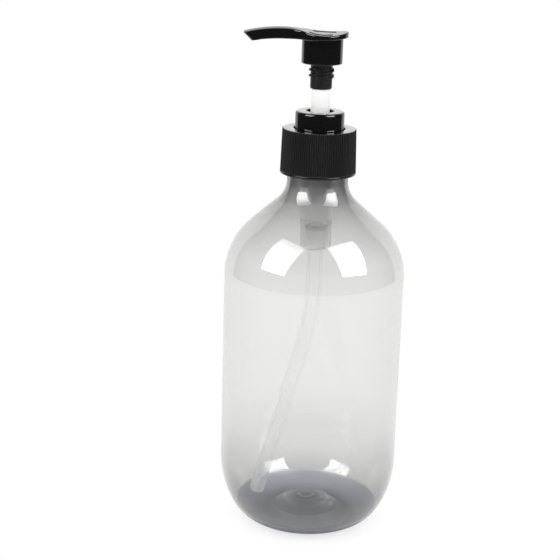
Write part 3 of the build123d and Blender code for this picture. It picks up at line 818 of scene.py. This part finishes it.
# The outlet: a round hole in the slanted tip
slant = np.array((TIP_UNDER_X - TIP_X, 0, TIP_UNDER - TIP_TOP))
tip_middle = np.array((TIP_X, 0, TIP_TOP)) + slant * 0.5
slant /= np.linalg.norm(slant)
last = (len(rows) - 1) * n
hole = len(verts)
for depth, share in ((0, OUTLET_FLARE), (OUTLET_EDGE, 1.0), (OUTLET_DEEP, 1.0)):
    for v in rows[-1]:
        turn = math.atan2(float((np.array(v) - tip_middle) @ slant), v[1])
        round_it = math.cos(turn) * np.array((0, 1, 0)) + math.sin(turn) * slant
        verts.append(tuple(tip_middle + OUTLET_R * share * round_it + depth * OUTLET_WAY))
verts.append(tuple(tip_middle + OUTLET_DEEP * OUTLET_WAY))
for a, b in ((last, hole), (hole, hole + n), (hole + n, hole + 2 * n)):
    faces += [(a + i, b + i, b + (i + 1) % n, a + (i + 1) % n) for i in range(n)]
faces += [(hole + 2 * n + i, len(verts) - 1, hole + 2 * n + (i + 1) % n) for i in range(n)]
head_top = new_mesh("head_top", verts, faces, sharp=35)
dress(head_top, gloss, "head", "black_gloss")
polish(head_top)

# Two plain curved arrows on the pad
verts, faces = [], []
for start in ARROW_STARTS:
    ribbon = [(a, ARROW_W) for a in np.linspace(start, start + ARROW_BEND, 22)]
    ribbon += [(start + ARROW_BEND, BARB_W), (start + ARROW_TIP, TIP_W)]
    first = len(verts)
    for a, w in ribbon:
        low, high = ARROW_R - w, ARROW_R + w
        for r, up in ((low, ARROW_SINK), (low, ARROW_H), (high, ARROW_H), (high, ARROW_SINK)):
            x, y = r * math.cos(math.radians(a)), r * math.sin(math.radians(a))
            verts.append((x, y, top_z(x) + up))
    for k in range(len(ribbon) - 1):
        at = first + 4 * k
        faces += [(at + i, at + (i + 1) % 4, at + 4 + (i + 1) % 4, at + 4 + i) for i in range(4)]
    faces += [(first + 3, first + 2, first + 1, first), tuple(range(len(verts) - 4, len(verts)))]
arrows = new_mesh("pad_arrows", verts, faces, sharp=30)
dress(arrows, marks, "head", "black_gloss")

# White stem, with a small bevel at its foot and where it meets the plug
stem_profile = [
    (STEM_BORE, STEM_FOOT), (STEM_R - STEM_EDGE, STEM_FOOT), (STEM_R, STEM_FOOT + STEM_EDGE),
    (STEM_R, PLUG_FOOT - STEM_TOP_EDGE), (STEM_R - STEM_TOP_EDGE, PLUG_FOOT), (SPIGOT_R, PLUG_FOOT),
    (SPIGOT_R, STEM_TOP), (STEM_BORE, STEM_TOP)]
stem = lathe("stem_tube", stem_profile, STEM_SEGMENTS)
dress(stem, white, "head", "white_plastic", "stem")

# Dip tube: straight down, one wide bend, then a straight run to the heel
way = np.array((*TUBE_WAY, 0)) / np.linalg.norm(TUBE_WAY)
aside, upright = np.array((-way[1], way[0], 0)), np.array((0, 0, 1))
bend = [(BEND_R * (1 - math.cos(t)), BEND_TOP - BEND_R * math.sin(t), t) for t in np.linspace(0, LEAN, 40)]
run = (bend[-1][1] - TUBE_END) / math.cos(LEAN)
middles = [(0, TUBE_TOP, 0)] + bend + [(bend[-1][0] + run * math.sin(LEAN), TUBE_END, LEAN)]
tube_path = [(off * way + z * upright, way * math.cos(t) + math.sin(t) * upright, aside)
             for off, z, t in middles]
dip_tube = tube("dip_tube_pipe", tube_path, TUBE_R, TUBE_BORE, TUBE_SIDES)
dress(dip_tube, tube_plastic, "pump_base", "natural_plastic", "dip_tube")
dip_tube.data.materials.append(cut_end)
tube_down = Vector((*way[:2] * math.sin(LEAN), -math.cos(LEAN)))
for face in dip_tube.data.polygons:
    at_end = face.center.z < (TUBE_END + TUBE_R) * MM
    face.material_index = 1 if at_end and abs(face.normal.dot(tube_down)) > END_FACE else 0

# Return spring, wound from round wire and closed up at both ends
coil = []
for u in np.linspace(0, 1, COIL_STEPS):
    a = 2 * math.pi * SPRING_TURNS * u
    z = SPRING_FOOT + WIRE_LIFT + SPRING_RISE * (u - COIL_EASE * math.sin(2 * math.pi * u) / (2 * math.pi))
    outward = (math.cos(a), math.sin(a), 0)
    coil.append(((SPRING_R * math.cos(a), SPRING_R * math.sin(a), z), outward, (0, 0, 1)))
spring = sweep("spring_coil", coil, ring_of(WIRE_R, WIRE_SIDES))
dress(spring, steel, "pump_base", "steel", "spring")
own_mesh(spring)

# CAD nodes that keep their solids
for node, mat in (("gasket", liner), ("housing", housing_plastic), ("inlet_ball", steel),
                  ("piston", white), ("piston_rod", white)):
    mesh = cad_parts[node].data
    mesh.materials.clear()
    mesh.materials.append(mat)

# Floor: pale under the part, and as white as the background further out. Sizes from here on are in metres
FLOOR_SIZE, FLOOR_SIDES, WHITE_FROM, WHITE_TO = 0.62, 128, 0.001, 0.037
ang = np.arange(FLOOR_SIDES) * 2 * math.pi / FLOOR_SIDES
rim = list(zip(FLOOR_SIZE / MM * np.cos(ang), FLOOR_SIZE / MM * np.sin(ang), np.zeros(FLOOR_SIDES)))
floor = new_mesh("studio_floor", rim, [tuple(range(FLOOR_SIDES))], sharp=None)
pale, nt, p = material("pale_floor", (0.9, 0.9, 0.9), 0.9, Specular_IOR_Level=0.0)
rays = nt.nodes.new("ShaderNodeLightPath").outputs
seen = math_node(nt, "MAXIMUM", rays["Is Camera Ray"], rays["Is Glossy Ray"])
seen = math_node(nt, "MAXIMUM", seen, rays["Is Transmission Ray"])
seen_far = math_node(nt, "MULTIPLY", seen, between(nt, along(nt)[0], WHITE_FROM, WHITE_TO))
glow = nt.nodes.new("ShaderNodeEmission")
nt.links.new(shader_mix(nt, seen_far, p.outputs["BSDF"], glow.outputs[0]),
             nt.nodes["Material Output"].inputs["Surface"])
floor.data.materials.append(pale)

# Camera
CAMERA_AT = Vector((0, -0.56859, 0.26938))
YAW, PITCH, ROLL = (math.radians(a) for a in (-1.409, 16.215, 1.731))
FOCAL_PX, PICTURE_PX, SENSOR = 1430.83, 560, 36
ahead = Vector((math.sin(YAW) * math.cos(PITCH), math.cos(YAW) * math.cos(PITCH), -math.sin(PITCH)))
level = Vector((math.cos(YAW), -math.sin(YAW), 0))
above = level.cross(ahead)
right = level * math.cos(ROLL) + above * math.sin(ROLL)
up = above * math.cos(ROLL) - level * math.sin(ROLL)
cam = bpy.data.cameras.new("camera")
cam.sensor_width = SENSOR
cam.lens = FOCAL_PX / PICTURE_PX * SENSOR
cam.clip_start = 0.01
cam_obj = bpy.data.objects.new("camera", cam)
cam_obj.matrix_world = Matrix.Translation(CAMERA_AT) @ Matrix((right, up, -ahead)).transposed().to_4x4()
bpy.context.scene.collection.objects.link(cam_obj)
bpy.context.scene.camera = cam_obj

# Two softboxes, left and right of the camera: a lamp for light, and its front, which shows in reflections
BOX_FAR, BOX_LIFT, BOX_LIGHT, BOX_FRONT = 0.7, 0.11, 2.4, 9.4
BOX_W, BOX_H, FADE_FROM, FADE_TO = 0.64 * BOX_FAR, 0.91 * BOX_FAR, 0.5, 0.8
# Each one's name, the way to it, the way across it, its turn, and its glow at the upper edge
BOXES = (("softbox_front_left", (-0.632, -0.429, 0.645), (0.58, -0.81, 0), 0.0, 2.2),
         ("softbox_front_right", (0.654, -0.405, 0.639), (-0.58, -0.81, 0), -7.0, 3.2))


def softbox_front(name, top):
    """A glow that is weaker towards the softbox's upper edge."""
    mat = bpy.data.materials.new(name)
    mat.use_nodes = True
    nt = mat.node_tree
    nt.nodes.clear()
    glow = nt.nodes.new("ShaderNodeEmission")
    nt.links.new(between(nt, along(nt)[1], FADE_FROM, FADE_TO, BOX_FRONT, top), glow.inputs["Strength"])
    nt.links.new(glow.outputs[0], nt.nodes.new("ShaderNodeOutputMaterial").inputs["Surface"])
    return mat


for name, box_way, box_across, box_turn, top in BOXES:
    to_box = Vector(box_way).normalized()
    rise = to_box.cross(Vector(box_across).normalized()).normalized()
    turned = Matrix.Rotation(math.radians(box_turn), 3, to_box)
    across, rise = turned @ rise.cross(to_box), turned @ rise
    box_middle = to_box * BOX_FAR + Vector((0, 0, BOX_LIFT))
    light = bpy.data.lights.new("softbox", "AREA")
    light.shape = "RECTANGLE"
    light.size, light.size_y = BOX_W, BOX_H
    light.energy = BOX_LIGHT * math.pi * BOX_W * BOX_H
    lamp = bpy.data.objects.new("softbox", light)
    lamp.matrix_world = Matrix.Translation(box_middle) @ Matrix((across, rise, to_box)).transposed().to_4x4()
    lamp.visible_camera = lamp.visible_glossy = lamp.visible_transmission = False
    bpy.context.scene.collection.objects.link(lamp)
    corners = [(box_middle + across * (i * BOX_W / 2) + rise * (j * BOX_H / 2)) / MM
               for i, j in ((-1, -1), (1, -1), (1, 1), (-1, 1))]
    card = new_mesh(name, corners, [(0, 1, 2, 3)], sharp=None)
    card.data.materials.append(softbox_front(name, top))
    card.visible_camera = card.visible_diffuse = card.visible_shadow = False

# World: white behind the part, a dim room elsewhere for reflections
ROOM_FROM, ROOM_TO, ROOM_DIM, ROOM_LIT = 0.5, 0.62, 0.07, 1.0
SKY_FROM, SKY_TO, SKY_LOW, SKY_HIGH = 0.25, 0.6, 1.0, 0.3
AMBIENT, BEHIND = 0.62, 1.0
world = bpy.data.worlds.new("studio")
bpy.context.scene.world = world
world.use_nodes = True
nt = world.node_tree
nt.nodes.clear()
rays = nt.nodes.new("ShaderNodeLightPath").outputs
toward = nt.nodes.new("ShaderNodeSeparateXYZ")
nt.links.new(nt.nodes.new("ShaderNodeTexCoord").outputs["Generated"], toward.inputs[0])


def background(strength):
    """A white background, with a value or a socket for its strength."""
    bg = nt.nodes.new("ShaderNodeBackground")
    bg.inputs["Color"].default_value = (1, 1, 1, 1)
    if isinstance(strength, float):
        bg.inputs["Strength"].default_value = strength
    else:
        nt.links.new(strength, bg.inputs["Strength"])
    return bg.outputs[0]


mirrored = background(between(nt, toward.outputs["Y"], ROOM_FROM, ROOM_TO, ROOM_DIM, ROOM_LIT))
beyond = background(between(nt, toward.outputs["Z"], SKY_FROM, SKY_TO, SKY_LOW, SKY_HIGH))
shader = shader_mix(nt, rays["Is Glossy Ray"], background(AMBIENT), mirrored)
shader = shader_mix(nt, rays["Is Transmission Ray"], shader, beyond)
shader = shader_mix(nt, rays["Is Camera Ray"], shader, background(BEHIND))
nt.links.new(shader, nt.nodes.new("ShaderNodeOutputWorld").inputs[0])

bpy.context.scene.view_settings.view_transform = "Standard"
